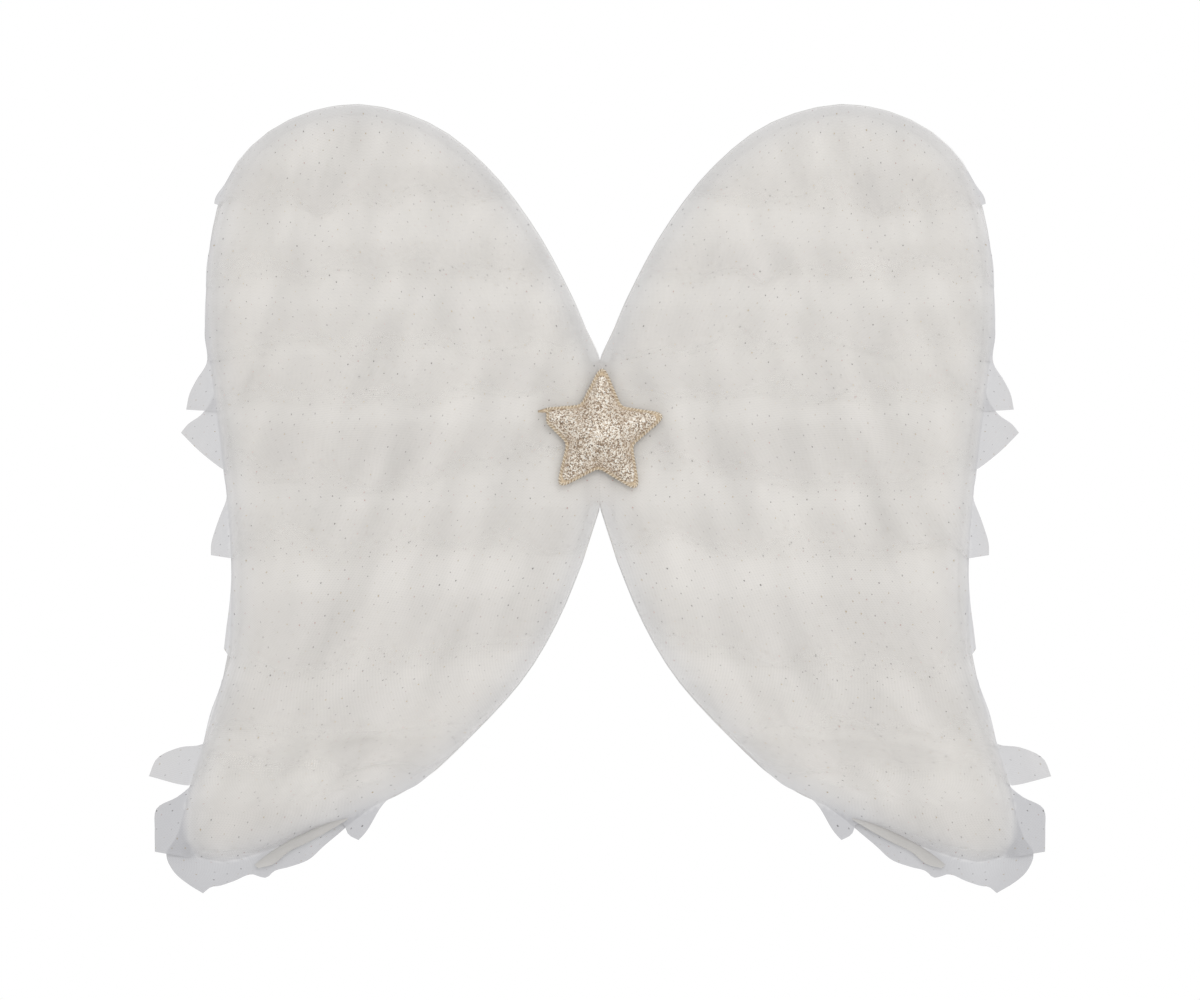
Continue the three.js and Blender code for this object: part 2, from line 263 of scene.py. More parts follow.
# Diagonal threads crossing: 1 on a thread, 0 in a hole.
net_weave, start, end = group(
    "net_weave",
    [("Cloth", "NodeSocketVector", None), ("Pitch", "NodeSocketFloat", MESH_PITCH)],
    [("Thread", "NodeSocketFloat")],
)
flat = node(net_weave, "ShaderNodeSeparateXYZ", {0: start.outputs["Cloth"]})
ways = []
for lean in (MESH_LEAN, -MESH_LEAN):
    across = sum_of(net_weave, "MULTIPLY_ADD", flat.outputs["Y"], lean, flat.outputs["X"])
    phase = sum_of(net_weave, "DIVIDE", across, start.outputs["Pitch"])
    wave = sum_of(net_weave, "SINE", sum_of(net_weave, "MULTIPLY", phase, math.pi))
    ways.append(sum_of(net_weave, "POWER", sum_of(net_weave, "ABSOLUTE", wave), THREAD_SHARPNESS))
net_weave.links.new(sum_of(net_weave, "MAXIMUM", ways[0], ways[1]), end.inputs["Thread"])

# Foil dots on a staggered, slightly uneven lattice, each in one of the foil's three colours.
foil_dots, start, end = group(
    "foil_dots",
    [
        ("Cloth", "NodeSocketVector", None),
        ("Pitch", "NodeSocketFloat", DOT_PITCH),
        ("Radius", "NodeSocketFloat", DOT_RADIUS),
    ],
    [("Dot", "NodeSocketFloat"), ("Foil", "NodeSocketColor")],
)
turned = {"Vector": start.outputs["Cloth"], "Angle": DOT_ROWS_TURN}
lattice = node(foil_dots, "ShaderNodeVectorRotate", turned)
scale = sum_of(foil_dots, "DIVIDE", 1.0, start.outputs["Pitch"])
cells = node(
    foil_dots,
    "ShaderNodeTexVoronoi",
    {"Vector": lattice.outputs[0], "Scale": scale, "Randomness": 0.5},
    voronoi_dimensions="2D",
)
away = sum_of(foil_dots, "MULTIPLY", cells.outputs["Distance"], start.outputs["Pitch"])
chance = node(foil_dots, "ShaderNodeSeparateColor", {0: cells.outputs["Color"]})
size = sum_of(foil_dots, "MULTIPLY_ADD", chance.outputs[1], 0.7, 0.55)
size = sum_of(foil_dots, "MULTIPLY", start.outputs["Radius"], size)
strength = sum_of(foil_dots, "POWER", chance.outputs[2], 1.2)
strength = sum_of(foil_dots, "MULTIPLY_ADD", strength, 0.7, 0.3)
within = sum_of(foil_dots, "LESS_THAN", away, size)
foil_dots.links.new(sum_of(foil_dots, "MULTIPLY", within, strength), end.inputs["Dot"])
foils = node(foil_dots, "ShaderNodeValToRGB", {"Fac": chance.outputs[0]})
foils.color_ramp.interpolation = "CONSTANT"
foils.color_ramp.elements[0].color = (0.11, 0.10, 0.10, 1)
foils.color_ramp.elements[1].position = 0.45
foils.color_ramp.elements[1].color = (0.40, 0.31, 0.17, 1)
foils.color_ramp.elements.new(0.8).color = (0.42, 0.25, 0.23, 1)
foil_dots.links.new(foils.outputs["Color"], end.inputs["Foil"])

# Slow drifts in tone over the cloth, stretched along the pleats.
soft_drift, start, end = group(
    "soft_drift",
    [
        ("Cloth", "NodeSocketVector", None),
        ("Along", "NodeSocketFloat", 0.3),
        ("Scale", "NodeSocketFloat", 30.0),
    ],
    [("Drift", "NodeSocketFloat")],
)
squeezed = node(soft_drift, "ShaderNodeCombineXYZ", {0: 1.0, 1: start.outputs["Along"], 2: 1.0})
stretched = node(
    soft_drift,
    "ShaderNodeVectorMath",
    {0: start.outputs["Cloth"], 1: squeezed.outputs[0]},
    operation="MULTIPLY",
)
clouds = node(
    soft_drift,
    "ShaderNodeTexNoise",
    {"Vector": stretched.outputs[0], "Scale": start.outputs["Scale"], "Detail": 2.0, "Roughness": 0.55},
)
soft_drift.links.new(clouds.outputs["Fac"], end.inputs["Drift"])

# What each point of a cloth records: how far it is out past the covers, how near their edge, how far up on
# a fold, and how solid it is, which falls away at a raw edge. The first three set painted shade: darker and
# cooler past the covers and near their edge, darker in a fold's valley and lighter on its ridge. On the
# lowest tiers the first also carries a painted shadow along the covers' lower edge.
CLOTH_LAYERS = ("bare", "rim", "fold", "solid")
VALLEY_SHADE, RIDGE_LIGHT = 0.84, 1.08
EDGE_SHADE_TONE = (0.80, 0.80, 0.81)
BARE_SHADE_TONE = (0.53, 0.53, 0.55)


def cloth_finish(name, warm, edge, bare_shade_tone, sheer, bare_sheer, roughness, dots=0.0):
    """Net with painted shade in its valleys and painted light on its folds, and painted shade, cooler and
    darker, towards its edge and where it lies bare beyond it.
    """
    made, tree, shader = material(name, Roughness=roughness)
    cloth = node(tree, "ShaderNodeUVMap", uv_map="cloth").outputs[0]
    weave = use(tree, net_weave, Cloth=cloth)
    drift = use(tree, soft_drift, Cloth=cloth)
    bare, rim, fold, hem = (
        node(tree, "ShaderNodeAttribute", attribute_name=layer).outputs["Fac"] for layer in CLOTH_LAYERS
    )
    # Painted shade and painted light: darker in pleat valleys, lighter on ridges, from the fold layer, over
    # slow random drifts in tone.
    lightness = sum_of(tree, "MULTIPLY_ADD", drift.outputs["Drift"], 1.5, -0.32)
    lightness = sum_of(tree, "MULTIPLY_ADD", fold, 0.6, lightness)
    clamped = node(tree, "ShaderNodeClamp", {"Value": lightness}).outputs[0]
    tone = mixed(tree, clamped, scaled(warm, VALLEY_SHADE), scaled(warm, RIDGE_LIGHT))
    # Painted shade: darker and cooler near the covers' edge, and more so where the cloth lies bare past them.
    tone = mixed(tree, sum_of(tree, "MULTIPLY", rim, 0.7), tone, (*edge, 1))
    tone = mixed(tree, sum_of(tree, "POWER", bare, 2.5), tone, (*bare_shade_tone, 1))
    tone = mixed(tree, sum_of(tree, "MULTIPLY", weave.outputs["Thread"], 0.06), tone, (1, 1, 1, 1))
    alpha = sum_of(tree, "MULTIPLY_ADD", bare, bare_sheer - sheer, sheer - 0.08)
    alpha = sum_of(tree, "MULTIPLY_ADD", weave.outputs["Thread"], 0.16, alpha)
    alpha = sum_of(tree, "MULTIPLY", alpha, hem)
    if dots:
        foil = use(tree, foil_dots, Cloth=cloth)
        dot = sum_of(tree, "MULTIPLY", foil.outputs["Dot"], dots)
        tone = mixed(tree, dot, tone, foil.outputs["Foil"])
        alpha = sum_of(tree, "MAXIMUM", alpha, dot)
        join(tree, shader, Metallic=sum_of(tree, "MULTIPLY", dot, 0.5))
    thread = weave.outputs["Thread"]
    lift = node(tree, "ShaderNodeBump", {"Strength": 0.25, "Distance": 0.2 * MM, "Height": thread})
    join(tree, shader, Base_Color=tone, Alpha=alpha, Normal=lift.outputs[0])
    return made


tulle = cloth_finish("glitter_tulle", (0.862, 0.838, 0.812), EDGE_SHADE_TONE, BARE_SHADE_TONE, 0.52, 0.86, 0.75, dots=0.9)
close_net = cloth_finish("close_net", (0.87, 0.85, 0.815), EDGE_SHADE_TONE, BARE_SHADE_TONE, 0.94, 0.94, 0.8)

# ---- Wire loops ---------------------------------------------------------------------------------
# Each wing is held open by a loop of drawn spring steel, its ends crimped together in a brass tube at
# the hinge line.
def surface_noise(tree, shader, scale, detail, lift=0.0, depth=0.1 * MM, distortion=0.0):
    """Fine noise over a piece, which also raises its surface where lift isn't 0."""
    place = node(tree, "ShaderNodeTexCoord").outputs["Object"]
    settings = {"Vector": place, "Scale": scale, "Detail": detail, "Distortion": distortion}
    grain = node(tree, "ShaderNodeTexNoise", settings).outputs["Fac"]
    if lift:
        raised = node(tree, "ShaderNodeBump", {"Strength": lift, "Distance": depth, "Height": grain})
        join(tree, shader, Normal=raised.outputs[0])
    return grain


def metal_finish(name, colour, roughness, streaks):
    """Bare metal with fine drawn streaks and small changes in shine."""
    made, tree, shader = material(name, Metallic=1.0)
    lines = surface_noise(tree, shader, streaks, 4.0, lift=0.2)
    tone = mixed(tree, lines, scaled(colour, 1), scaled(colour, 0.7))
    rough = sum_of(tree, "MULTIPLY_ADD", lines, 0.25, roughness)
    join(tree, shader, Base_Color=tone, Roughness=rough)
    return made


spring_steel = metal_finish("drawn_spring_steel", (0.62, 0.63, 0.65), 0.28, 900.0)
crimp_brass = metal_finish("crimped_brass", (0.72, 0.55, 0.28), 0.3, 500.0)
for side, _ in SIDES:
    for part, finish in (("wing_wire", spring_steel), ("wire_ferrule", crimp_brass)):
        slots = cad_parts[f"{side}_{part}"].data.materials
        slots.clear()
        slots.append(finish)
# ---- Covers -------------------------------------------------------------------------------------
# Plain close net stretched over the loop, front and back, so the loop shows only as a faint edge. It
# draws in a little between the wire's two sides.
COVER_ROWS, COVER_COLUMNS = 110, 50
COVER_SLACK = 0.3 * MM
RIM_WIDTH = 18 * MM
BARE_RAMP, BARE_SIDES = 5 * MM, 2 * MM
RAW_ENDS_TOP = 145 * MM
UNDER_BUNCH, BUNCH_PAST, BUNCH_RAMP = 0.6 * MM, 2 * MM, 3 * MM
BEND_END = 0.018


def share_of(value, full):
    """A value as a share of the full one, from 0 to 1."""
    return min(1, max(0, value / full))


def cloth_grid(columns, rows):
    """A grid of cloth in a bmesh, with its UV map and its tone layers; across and down run from 0 to 1."""
    bm = bmesh.new()
    bmesh.ops.create_grid(bm, x_segments=columns, y_segments=rows, size=0.5)
    uv = bm.loops.layers.uv.new("cloth")
    for name in CLOTH_LAYERS:
        bm.verts.layers.float.new(name)
    layers = {name: bm.verts.layers.float[name] for name in CLOTH_LAYERS}
    shares = {v: (v.co.x + 0.5, 0.5 - v.co.y) for v in bm.verts}
    for v in bm.verts:
        v[layers["solid"]] = 1.0
        v[layers["fold"]] = 0.5
    return bm, uv, layers, shares


def lay_flat(bm, uv, flat_at):
    """Give each point of a cloth its place on the flat cloth."""
    for f in bm.faces:
        for loop in f.loops:
            loop[uv].uv = flat_at(loop.vert)


def bend_at_seam(piece, side, sign):
    """Let a cloth turn with its wing on one side of the seam and stay with the centre on the other."""
    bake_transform(piece, "centre", f"{side}_wing", start=(0, 0, 0), end=(sign * BEND_END, 0, 0))


def bare_share(x, z):
    """How far a point of the right wing is past the covers, from 0 to 1; at the raw ends it starts inside."""
    level = min(max(z, wing_bottom), wing_top)
    ramp_in = BARE_RAMP if z < RAW_ENDS_TOP else 0
    outward = (x - outer_at(level) + ramp_in) / BARE_RAMP
    share = max(outward, (inner_at(level) - x) / BARE_SIDES, (wing_bottom - z) / BARE_SIDES)
    return min(1.0, max(0.0, share)) ** 1.4


rim_line = np.array([(side_at(z), z) for side_at in (inner_at, outer_at) for z in levels[::4]])
rim_line = rim_line[rim_line[:, 0] > 0.5 * MM]


def rim_share(x, z):
    """How near a point is to the wing's edge: 1 on it, and 0 from some way in."""
    away = float(np.hypot(rim_line[:, 0] - x, rim_line[:, 1] - z).min())
    return max(0.0, 1 - away / RIM_WIDTH) ** 1.5


panel_side = panel_high.x + 0.1 * MM
for side, sign in SIDES:
    for face, slack_way in (("front", 1), ("rear", -1)):
        name = f"{side}_{face}_cover"
        lowest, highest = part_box(name)
        middle_y = (lowest.y + highest.y) / 2
        bm, uv, layers, shares = cloth_grid(COVER_COLUMNS, COVER_ROWS)
        for v, (across, down) in shares.items():
            z = wing_top - (wing_top - wing_bottom) * (1 - math.cos(math.pi * down)) / 2
            z = min(max(z, levels[0]), levels[-1])
            inner = inner_at(z) if face == "front" else max(inner_at(z), panel_side)
            x = inner + (outer_at(z) - inner) * across
            slack = noise.noise(Vector((x * 28, z * 16, 3))) * math.sin(math.pi * across)
            dip = UNDER_BUNCH * share_of(corner_x + BUNCH_PAST - x, BUNCH_RAMP) if face == "front" else 0
            v.co = (sign * x, middle_y + slack_way * COVER_SLACK * slack + dip, z)
            # Painted shade: rim sets how far the net is painted darker and cooler near the wing's edge.
            v[layers["rim"]] = rim_share(x, z)
        lay_flat(bm, uv, lambda v: (v.co.x, v.co.z))
        bmesh.ops.recalc_face_normals(bm, faces=bm.faces)
        cover = piece_of(bm, f"{side}_{face}_net", close_net)
        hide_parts(name)
        bend_at_seam(cover, side, sign)
# ---- Edge binding -------------------------------------------------------------------------------
# The covers' edges are turned round the wire in one narrow strip of the same net, sewn down with a row
# of small stitches that shows at the back.
BINDING_STEPS = 300
BINDING_WIDTH = 13 * MM
BINDING_SECTION = (
    (-5.0, -1.45), (-2.5, -1.35), (-0.8, -1.55), (0.2, -2.4), (0.6, -4.0), (0.2, -5.6), (-0.8, -6.4),
    (-2.5, -6.55), (-5.0, -6.5),
)
EDGE_REACH = 2 * MM
STITCH_PITCH = 4.6 * MM
STITCH_LENGTH = 2.6 * MM
STITCH_RADIUS = 0.22 * MM
STITCH_INSET, STITCH_Y = 4 * MM, -1.4 * MM
UNSTITCHED = 4


def run_along(points):
    """How far along a line each of its points is."""
    steps = np.linalg.norm(np.diff(points, axis=0), axis=1)
    return np.concatenate([[0], np.cumsum(steps)])


edge_line = [(inner_at(z), z) for z in np.linspace(NOTCH_TOP, wing_top, 400)]
edge_line += [(outer_at(z), z) for z in np.linspace(wing_top, wing_bottom, 700)]
edge_line += [(inner_at(z), z) for z in np.linspace(wing_bottom, NOTCH_BOTTOM, 400)]
edge_line = np.array(edge_line)
run = run_along(edge_line)
edge_length = float(run[-1])


def on_edge(at):
    """The point this far along the right wing's edge."""
    return np.array([np.interp(at, run, edge_line[:, 0]), np.interp(at, run, edge_line[:, 1])])


def edge_point(at):
    """A point of the right wing's edge, and the direction out of the cloth there."""
    dx, dz = on_edge(min(at + EDGE_REACH, edge_length)) - on_edge(max(at - EDGE_REACH, 0))
    x, z = on_edge(at)
    return x, z, -dz / math.hypot(dx, dz), dx / math.hypot(dx, dz)


def two_tone(name, scale, detail, first, second, lift=0.0, **constants):
    """Thread or fluff: one fine noise gives its tone and, where lift isn't 0, its height."""
    made, tree, shader = material(name, **constants)
    grain = surface_noise(tree, shader, scale, detail, lift)
    join(tree, shader, Base_Color=mixed(tree, grain, (*first, 1), (*second, 1)))
    return made


thread_finish = two_tone(
    "white_thread", 1500.0, 2.0, (0.86, 0.84, 0.80), (0.70, 0.68, 0.64), lift=0.4, Roughness=0.55
)


def add_stitch(bm, start, finish, radius):
    """One stitch between two points: a short six-sided thread with round ends."""
    start, finish = Vector(start), Vector(finish)
    along = finish - start
    turned = along.to_track_quat("Z", "X").to_matrix().to_4x4()
    turned.translation = (start + finish) / 2
    made = bmesh.ops.create_uvsphere(bm, u_segments=6, v_segments=4, radius=radius, matrix=turned)
    for v in made["verts"]:
        side = (v.co - turned.translation).dot(along.normalized())
        v.co += along / 2 * (1 if side > 1e-6 else -1 if side < -1e-6 else 0)


for side, sign in SIDES:
    bm, uv, layers, shares = cloth_grid(len(BINDING_SECTION) - 1, BINDING_STEPS)
    for v, (across, down) in shares.items():
        x, z, out_x, out_z = edge_point(down * edge_length)
        out, y = BINDING_SECTION[round(across * (len(BINDING_SECTION) - 1))]
        reach = out * MM
        if x + out_x * reach < 0:
            reach = -x / out_x
        v.co = (sign * (x + out_x * reach), y * MM, z + out_z * reach)
        # Painted shade: the binding is painted partway to the darker, cooler edge and bare tones, against the
        # light its outward-facing sides catch.
        v[layers["rim"]] = 0.6
        v[layers["bare"]] = 0.5
    lay_flat(bm, uv, lambda v: (shares[v][0] * BINDING_WIDTH, shares[v][1] * edge_length))
    bmesh.ops.remove_doubles(bm, verts=bm.verts, dist=1e-6)
    bmesh.ops.recalc_face_normals(bm, faces=bm.faces)
    binding = piece_of(bm, f"{side}_edge_binding", close_net)
    bend_at_seam(binding, side, sign)

    bm = bmesh.new()
    for i in range(UNSTITCHED, int(edge_length / STITCH_PITCH) - UNSTITCHED):
        ends = []
        for at in (i * STITCH_PITCH, i * STITCH_PITCH + STITCH_LENGTH):
            x, z, out_x, out_z = edge_point(at)
            ends.append((sign * (x - out_x * STITCH_INSET), STITCH_Y, z - out_z * STITCH_INSET))
        add_stitch(bm, *ends, STITCH_RADIUS)
    stitches = piece_of(bm, f"{side}_binding_stitches", thread_finish)
    bend_at_seam(stitches, side, sign)
# ---- Tulle tiers --------------------------------------------------------------------------------
# Eleven widths of glitter tulle on each wing, each gathered on its own row of stitching and left free
# below, so that they lap like shingles. They are cut a quarter wider than they finish, and their raw
# outer ends stand past the edge. Points are in millimetres: out from the middle, and up.
GATHER = 1.25
CLOTH_STEP = 2.2 * MM
PLEAT_RISE = 0.9 * MM
PLEAT_LEAN = 0.4
HEM_SETTLE, SETTLE_FADE = 0.65 * MM, 15 * MM
HEM_WAVE, HEM_WAVE_LENGTH = 16 * MM, 36 * MM
HEM_FADE = 12 * MM
GATHER_FADE = 13 * MM
LAST_TAB, INNER_TAB, TAB_FADE = 232 * MM, 147 * MM, 10 * MM
LOWEST_TIERS = 9
CRUSH_SHARE = 0.35
CRUSH_TO, FULL_FROM = 40 * MM, 100 * MM
BROAD_PLEAT, SMALL_PLEAT, PLEAT_SWAY = 33 * MM, 13 * MM, 11 * MM
PLEATS_GROW = 18 * MM
SEAM_DIP, SEAM_FADE = 0.5 * MM, 1.5 * MM
EDGE_SHOWS = 11 * MM
SLAB = 2 * MM
TIERS = (
    dict(end=((201, 150), (208, 137), (213, 129), (213.4, 126.4)), hem=((209, 124.8), (213.4, 126.4))),
    dict(end=((201, 149), (213.5, 112), (217.5, 92), (217.9, 80))),
    dict(end=((215.6, 107), (218, 79), (218.6, 60), (217.5, 46), (215.6, 39.2))),
    dict(
        end=((217.9, 71), (218.9, 54), (217.8, 38), (223.3, 29), (227.2, 21), (228.9, 12.5)),
        hem=((221.7, 12), (228.9, 12.5)),
    ),
    dict(
        end=((216.5, 44), (214, 20), (220.6, 9.7), (228.3, 4), (231.7, -0.3)),
        hem=((209.5, -20), (222, -10), (231.7, -0.3)),
    ),
    dict(
        end=((211.6, 7), (208, -25), (206.5, -36), (210, -46), (212.8, -54), (215, -62.5), (215, -68)),
        hem=((204, -69.7), (215, -68)),
    ),
    dict(
        end=((206.4, -40), (203.9, -75), (205, -96), (206.5, -108), (207.8, -119.7)),
        hem=((205, -124), (207.8, -119.7)),
    ),
    dict(
        end=(
            (204.3, -87), (205.6, -129), (208.9, -137.5), (212, -146), (215, -154), (217.2, -162.5),
            (219.5, -173.6),
        ),
    ),
    dict(
        end=((209.4, -137), (214, -155), (219, -172), (233, -174.5), (245.6, -181), (249.5, -190.3)),
        hem=((205, -194), (228.9, -195.3), (249.5, -190.3)),
    ),
    dict(
        inner=((75, -170), (86.5, -182), (101, -195), (117.8, -203.6), (131, -223), (133.5, -225.5)),
        end=((219, -170), (226, -195), (233.3, -201.4), (245.6, -208.6), (246.3, -220), (246.1, -232)),
        hem=(
            (139, -222.5), (142, -216.5), (155, -219.5), (166.7, -224), (189, -232), (215, -236), (240, -233),
            (246.1, -232),
        ),
    ),
    dict(
        inner=((121, -204), (135, -214), (144.5, -222)),
        end=((228.6, -204), (235, -225), (240, -233), (236.1, -243), (228, -250), (219.5, -255)),
        hem=(
            (152.8, -229), (161.1, -236.4), (172, -240.5), (180.6, -243), (184.5, -246.4), (188, -246),
            (191.7, -244.7), (203, -248.5), (211, -251), (215, -251.5), (219.5, -255),
        ),
    ),
)


def rounded(points, cuts=8):
    """A line of points drawn as a smooth curve through all of them, without overshooting its short steps."""
    points = np.array(points, float)
    if len(points) < 3:
        return points
    steps = np.linalg.norm(np.diff(points, axis=0), axis=1)[:, None]
    slopes = np.diff(points, axis=0) / steps
    joint = (slopes[:-1] * steps[1:] + slopes[1:] * steps[:-1]) / (steps[:-1] + steps[1:])
    tangents = np.vstack([slopes[:1], joint, slopes[-1:]])
    line = []
    for k, step in enumerate(steps[:, 0]):
        for t in np.arange(cuts) / cuts:
            held = (1 + 2 * t) * (1 - t) ** 2 * points[k] + t * t * (3 - 2 * t) * points[k + 1]
            line.append(held + step * t * (1 - t) * ((1 - t) * tangents[k] - t * tangents[k + 1]))
    return np.array([*line, points[-1]])


def measured(points):
    """A line's points with how far along it each one is, from 0 to 1."""
    points = np.array(points, float)
    steps = run_along(points)
    return points, steps / steps[-1]


def along(line, share):
    """The point at a share of the way along a measured line."""
    points, steps = line
    return np.array([np.interp(share, steps, points[:, 0]), np.interp(share, steps, points[:, 1])])


def patch(top, hem, inner, end, across, down):
    """A point of the cloth between its four edges."""
    t, b, l, r = along(top, across), along(hem, across), along(inner, down), along(end, down)
    corners = [along(top, 0), along(top, 1), along(hem, 0), along(hem, 1)]
    flat = (1 - across) * ((1 - down) * corners[0] + down * corners[2])
    flat = flat + across * ((1 - down) * corners[1] + down * corners[3])
    return (1 - down) * t + down * b + (1 - across) * l + across * r - flat


def pleat(at, fallen, seed):
    """How far up on a fold a point is, from -1 to 1: broad leaning pleats of uneven width, and small ones."""
    at -= PLEAT_LEAN * fallen
    sway = PLEAT_SWAY * noise.noise(Vector((at / (38 * MM), fallen / (90 * MM), seed * 7.7)))
    broad = math.sin((at + sway) * 2 * math.pi / BROAD_PLEAT + seed * 2.1)
    small = math.sin((at - 1.4 * sway) * 2 * math.pi / SMALL_PLEAT + seed * 4.7 + broad)
    fade = 0.5 + 0.9 * noise.noise(Vector((at / (40 * MM), seed * 3.3, fallen / (50 * MM))))
    return min(1.0, max(0.15, fade) * 1.3) * (0.8 * broad + 0.2 * small)


both_lines = zip([*inner_side, *outer_side], [*levels, *levels])
bottom_points = np.array(sorted((x, z) for x, z in both_lines if z < -0.16))


def edge_below(x):
    """The height of the covers' lower edge at this distance out."""
    near = np.abs(bottom_points[:, 0] - x) < 2.5 * MM
    return float(bottom_points[near, 1].min()) if near.any() else wing_bottom


def tier_lines(tier, gather_z, hem_z, first):
    """A tier's gathered line, hem, inner end and outer end. The first tier covers the top of the wing."""
    end_line = rounded(np.array(tier["end"]) * MM)
    top = [(inner_at(gather_z), gather_z), end_line[0]]
    if first:
        gather_z = end_line[0][1]
        up = np.linspace(gather_z, wing_top - 0.2 * MM, 24)
        top = [(inner_at(z) + 0.8 * MM, z) for z in up] + [(outer_at(z) - 0.8 * MM, z) for z in up[::-1]]
    if "inner" in tier:
        inner_line = rounded(np.array(tier["inner"]) * MM)
    else:
        inner_line = [(inner_at(z), z) for z in np.linspace(gather_z, hem_z, 16)]
    hem = np.array(tier["hem"]) * MM if "hem" in tier else [end_line[-1]]
    return top, rounded([inner_line[-1], *hem]), inner_line, end_line


for i, tier in enumerate(TIERS):
    number = f"{i + 1:02d}"
    tier_low, tier_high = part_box(f"right_tulle_tier_{number}")
    lines = tier_lines(tier, tier_high.z, tier_low.z, i == 0)
    width = float(np.linalg.norm(lines[1][-1] - lines[1][0]))
    length = (tier_high.z if i else wing_top) - tier_low.z
    columns, rows = max(30, int(width / CLOTH_STEP)), max(12, int(length / CLOTH_STEP))
    edges = [measured(line) for line in lines]
    lowest = i >= LOWEST_TIERS
    for side, sign in SIDES:
        bm, uv, layers, shares = cloth_grid(columns, rows)
        for v, (across, down) in shares.items():
            x, z = patch(*edges, across, down)
            fallen, below = down * length, (1 - down) * length
            space = CRUSH_SHARE + (1 - CRUSH_SHARE) * share_of(x - CRUSH_TO, FULL_FROM - CRUSH_TO)
            deep = tier_high.y - space * (SLAB / 2 + down * (tier_high.y - tier_low.y - SLAB))
            settled = HEM_SETTLE * space * math.exp(-below / SETTLE_FADE)
            high = pleat(x, wing_top - z, (2.3 if sign > 0 else 4.9) + 0.11 * i)
            high *= min(1, 0.25 + 0.75 * fallen / PLEATS_GROW)
            seam = SEAM_DIP * math.exp(-x / SEAM_FADE)
            ragged = noise.noise(Vector((across * width / HEM_WAVE_LENGTH, i * 5.1, sign)))
            ragged = abs(HEM_WAVE * ragged * down**4)
            inside = share_of(outer_at(min(z, wing_top)) - x, 12 * MM) if "inner" not in tier else 0
            v.co = (sign * x, deep - space * PLEAT_RISE * high + settled + seam, z + ragged * inside)

            # Painted shade: bare and rim paint the tulle darker and cooler past the covers and near their
            # edge; on the lowest tiers a painted shadow also darkens the cloth just above the covers' lower
            # edge.
            past = bare_share(x, z)
            shadow_reach = 1 + 0.8 * noise.noise(Vector((x / (25 * MM), z / (12 * MM), sign)))
            painted_edge_shadow = 0.85 * math.exp(-max(0.0, z - edge_below(x)) / (EDGE_SHOWS * shadow_reach)) if lowest else 0
            v[layers["bare"]] = max(past * (1 if lowest else 0.89), painted_edge_shadow)
            v[layers["rim"]] = rim_share(x, z)
            # Painted shade in the pleat's valley and painted light on its ridge.
            v[layers["fold"]] = 0.5 + 0.5 * high
            loose = share_of(min(LAST_TAB - x, x - INNER_TAB), TAB_FADE) if lowest else 1 - past
            uneven = 1 + 1.3 * noise.noise(Vector((x / (28 * MM), i * 3.7, sign * 4.1)))
            fade = max(0.3, uneven) * HEM_FADE * (0.5 if lowest else 1)
            shown = 1 - loose * math.exp(-below / fade) if i + 1 < len(TIERS) else 1
            hidden = loose * 0.9 * math.exp(-fallen / (GATHER_FADE * max(0.4, 2 - uneven))) if i else 0
            v[layers["solid"]] = shown * (1 - hidden)
        lay_flat(
            bm,
            uv,
            lambda v: (shares[v][0] * width * GATHER + 0.31 * i, shares[v][1] * length + 0.17 * i),
        )
        bmesh.ops.recalc_face_normals(bm, faces=bm.faces)
        cloth = piece_of(bm, f"{side}_tulle_{number}", tulle)
        outs = [v.co.x * sign for v in cloth.data.vertices]
        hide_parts(f"{side}_tulle_tier_{number}")
        if min(outs) < BEND_END:
            bend_at_seam(cloth, side, sign)
        else:
            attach(cloth, f"{side}_wing")
# ---- Turned hem ---------------------------------------------------------------------------------
# Near each wing's lowest point the hem has rolled under, as a fold with a small lobe at its end. Its dark
# colour is painted shade, as under a fold, darkest towards the top of the roll.
FOLD_TOP = ((139, -213), (150, -216), (162, -221), (174, -227), (184, -233.5), (191, -239))
FOLD_FOOT = ((140, -214.5), (150, -220.5), (161, -226.5), (172, -232), (181, -239), (189, -241))
FOLD_ROLL = 1.3 * MM
FOLD_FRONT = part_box("right_tulle_tier_11")[0].y - 0.6 * MM
FOLD_SHADE_TONE, FOLD_BARE_SHADE_TONE = (0.66, 0.645, 0.62), (0.47, 0.455, 0.44)
shaded_rolled_tulle = cloth_finish("shaded_rolled_tulle", FOLD_SHADE_TONE, EDGE_SHADE_TONE, FOLD_BARE_SHADE_TONE, 0.8, 0.9, 0.8)
fold_top, fold_foot = measured(rounded(np.array(FOLD_TOP) * MM)), measured(rounded(np.array(FOLD_FOOT) * MM))
for side, sign in SIDES:
    bm, uv, layers, shares = cloth_grid(44, 12)
    for v, (across, down) in shares.items():
        upper, lower = along(fold_top, across), along(fold_foot, across)
        rolled = 0.5 - 0.5 * math.cos(math.pi * down)
        x, z = upper + (lower - upper) * rolled
        deep = FOLD_FRONT + FOLD_ROLL * math.sin(math.pi * down) * math.sin(math.pi * across)
        v.co = (sign * x, deep, z)
        # Painted shade: darker and cooler towards the top of the roll, and a little darker in the fold's
        # valley.
        v[layers["bare"]] = 1 - 0.5 * down
        v[layers["fold"]] = 0.3
    lay_flat(bm, uv, lambda v: (v.co.x * 1.3, v.co.z * 1.6))
    bmesh.ops.recalc_face_normals(bm, faces=bm.faces)
    turned = piece_of(bm, f"{side}_turned_hem", shaded_rolled_tulle)
    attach(turned, f"{side}_wing")
